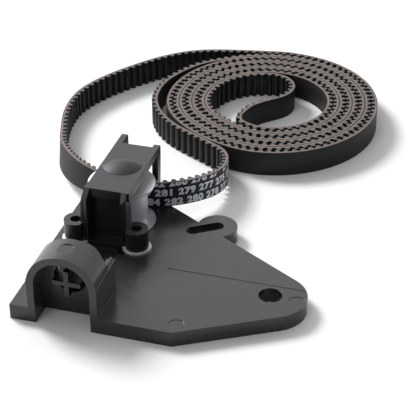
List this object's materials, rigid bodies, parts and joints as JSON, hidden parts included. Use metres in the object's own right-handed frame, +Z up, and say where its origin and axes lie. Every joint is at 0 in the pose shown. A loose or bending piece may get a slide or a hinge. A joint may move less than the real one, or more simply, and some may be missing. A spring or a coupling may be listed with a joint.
{
  "type": "timing belt with sprung idler tensioner",
  "caption": "Toothed drive belt laid in a flat double coil, looped behind the flanged pulley of a sprung idler carriage that slides on a moulded mounting plate.",
  "frame": {"origin": "axis of the plate's round fixing hole, on the plane the plate rests on", "axes": "+Z up along the fixing hole and the pulley's axle; Y is the way the idler carriage slides; X runs along the plate's straight front edge, towards the fixing hole"},
  "size_m": [0.184, 0.2991, 0.0426],
  "materials": {
    "black_plastic": "satin",
    "belt_rubber": "matte",
    "belt_cord": "matte",
    "chrome": "polished",
    "steel": "satin",
    "brass": "satin"
  },
  "bodies": {
    "plate": {"mounting_plate": "black_plastic", "tension_spring": "steel", "belt_coil_backing": "belt_rubber", "belt_coil_cord": "belt_cord", "belt_coil_teeth": "belt_rubber", "belt_run_backing": "belt_rubber", "belt_run_cord": "belt_cord", "belt_run_teeth": "belt_rubber"},
    "idler_carriage": {"carriage": "black_plastic", "axle_pin": "steel", "axle_clip": "steel", "inner_spacer": "steel", "guide_washers": "chrome", "guide_sleeves": "steel", "guide_screws": "steel", "lower_washers": "steel", "upper_inner_ring": "steel", "lower_inner_ring": "steel"},
    "pulley": {"pulley_drum": "chrome", "upper_flange": "chrome", "lower_flange": "chrome", "upper_outer_ring": "steel", "lower_outer_ring": "steel", "upper_shield": "steel", "lower_shield": "steel"},
    "bearing_balls": {"upper_balls": "chrome", "lower_balls": "chrome", "upper_cage": "brass", "lower_cage": "brass"}
  },
  "joints": [
    {"name": "carriage_slide", "type": "slide", "parent": "plate", "child": "idler_carriage", "axis": [0, 1, 0], "range_m": [-0.004, 0], "stiffness_N_per_m": 2000, "springref_m": 0.006, "deforming": ["tension_spring"]},
    {"name": "pulley_spin", "type": "hinge", "parent": "idler_carriage", "child": "pulley", "pos_m": [-0.094, 0.0474, 0.0186], "axis": [0, 0, 1], "continuous": true},
    {"name": "balls_roll", "type": "hinge", "parent": "idler_carriage", "child": "bearing_balls", "pos_m": [-0.094, 0.0474, 0.0186], "axis": [0, 0, 1], "continuous": true}
  ],
  "couplings": [
    {"joint": "balls_roll", "follows": "pulley_spin", "ratio": 0.652}
  ]
}
